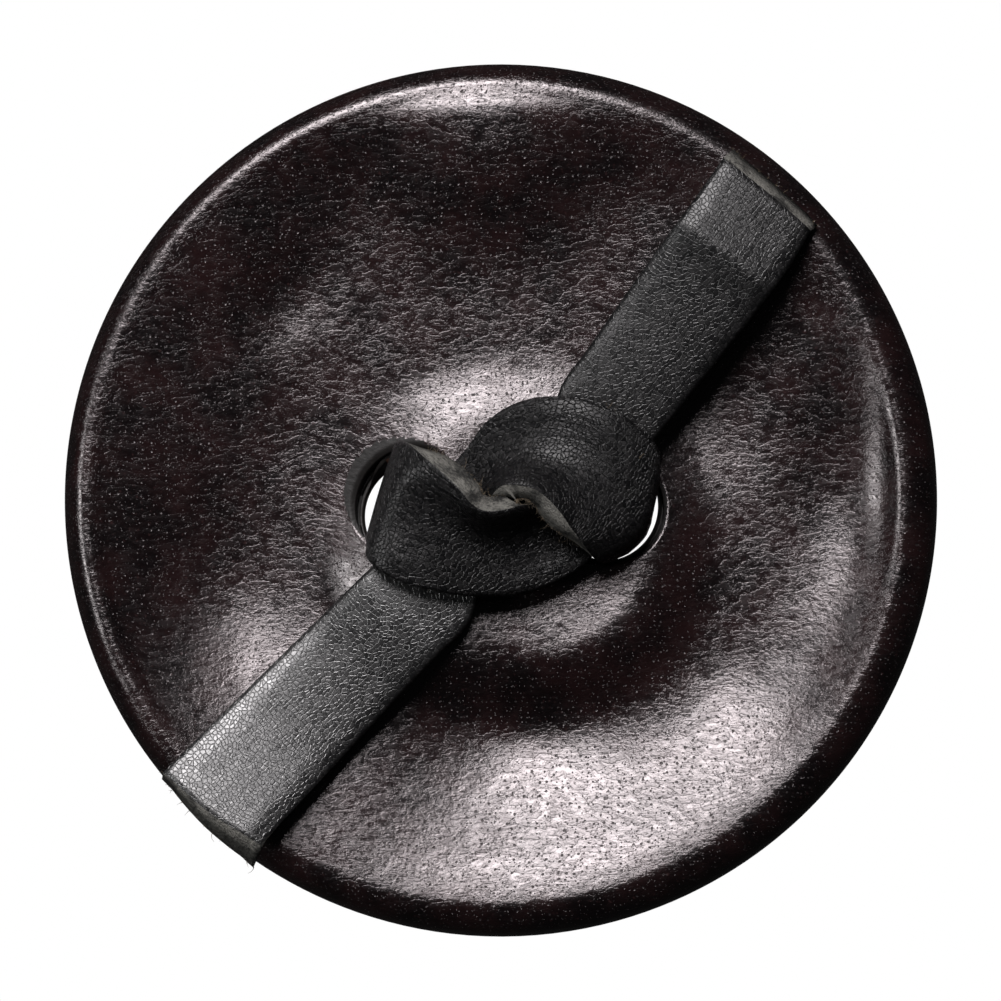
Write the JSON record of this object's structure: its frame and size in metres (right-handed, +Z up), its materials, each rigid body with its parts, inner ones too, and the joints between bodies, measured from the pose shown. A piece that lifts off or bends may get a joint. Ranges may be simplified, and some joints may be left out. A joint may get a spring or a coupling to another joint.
{
  "type": "leather dish thimble",
  "caption": "Round moulded leather dish with a rolled rim and two punched holes, and a flat leather thong tied over its middle in a half knot.",
  "frame": {"origin": "middle of the round outline, on the flat back that the dish rests on", "axes": "+Z up out of the face of the dish; +X from the left hole towards the right hole, 3.3 degrees off their line; +Y towards the side where the upper tail lies"},
  "size_m": [0.04, 0.04, 0.0086],
  "materials": {
    "cover_leather": "dark oxblood leather, waxed to a soft gloss",
    "core_board": "matte leatherboard",
    "backing_leather": "matte dark leather with a raw cut edge",
    "thong_leather": "black grain leather, soft gloss, raw cut edges"
  },
  "bodies": {
    "dish": {"face_cover": "cover_leather", "core": "core_board", "backing": "backing_leather"},
    "thong": {"thong_knot": "thong_leather"},
    "upper_tail": {"tail_upper": "thong_leather"},
    "lower_tail": {"tail_lower": "thong_leather"}
  },
  "joints": [
    {"name": "thong_draw", "type": "slide", "parent": "dish", "child": "thong", "axis": [0, 0, 1], "range_m": [0, 0.0006]},
    {"name": "upper_tail_lift", "type": "hinge", "parent": "thong", "child": "upper_tail", "pos_m": [0.00535, 0.00462, 0.00582], "axis": [0.81, -0.5864, 0], "range_deg": [0, 30]},
    {"name": "lower_tail_lift", "type": "hinge", "parent": "thong", "child": "lower_tail", "pos_m": [-0.00455, -0.00515, 0.00582], "axis": [-0.7157, 0.6984, 0], "range_deg": [0, 30]}
  ]
}
